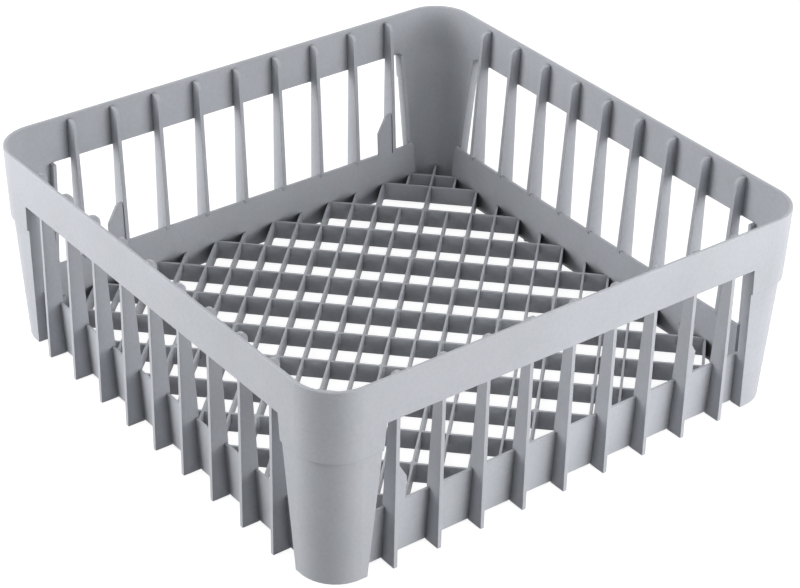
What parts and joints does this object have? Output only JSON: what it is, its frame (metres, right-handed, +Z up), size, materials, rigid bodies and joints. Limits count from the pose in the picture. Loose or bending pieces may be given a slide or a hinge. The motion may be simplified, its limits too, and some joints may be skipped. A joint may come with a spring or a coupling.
{
  "type": "dishwasher rack",
  "caption": "Square moulded plastic dishwasher basket: solid rim, rounded corner pillars, thin upright fins, a low wall and a diagonal lattice floor that holds glasses while water runs through.",
  "frame": {"origin": "middle of the footprint, on the plane the basket stands on", "axes": "+Z up out of the open top; X and Y along the sides, with the small upstands on the sides that face Y"},
  "size_m": [0.4, 0.4, 0.15],
  "materials": {
    "plastic": "cool light grey polypropylene, satin from the mould"
  },
  "bodies": {
    "root": {"basket": "plastic"}
  },
  "joints": []
}
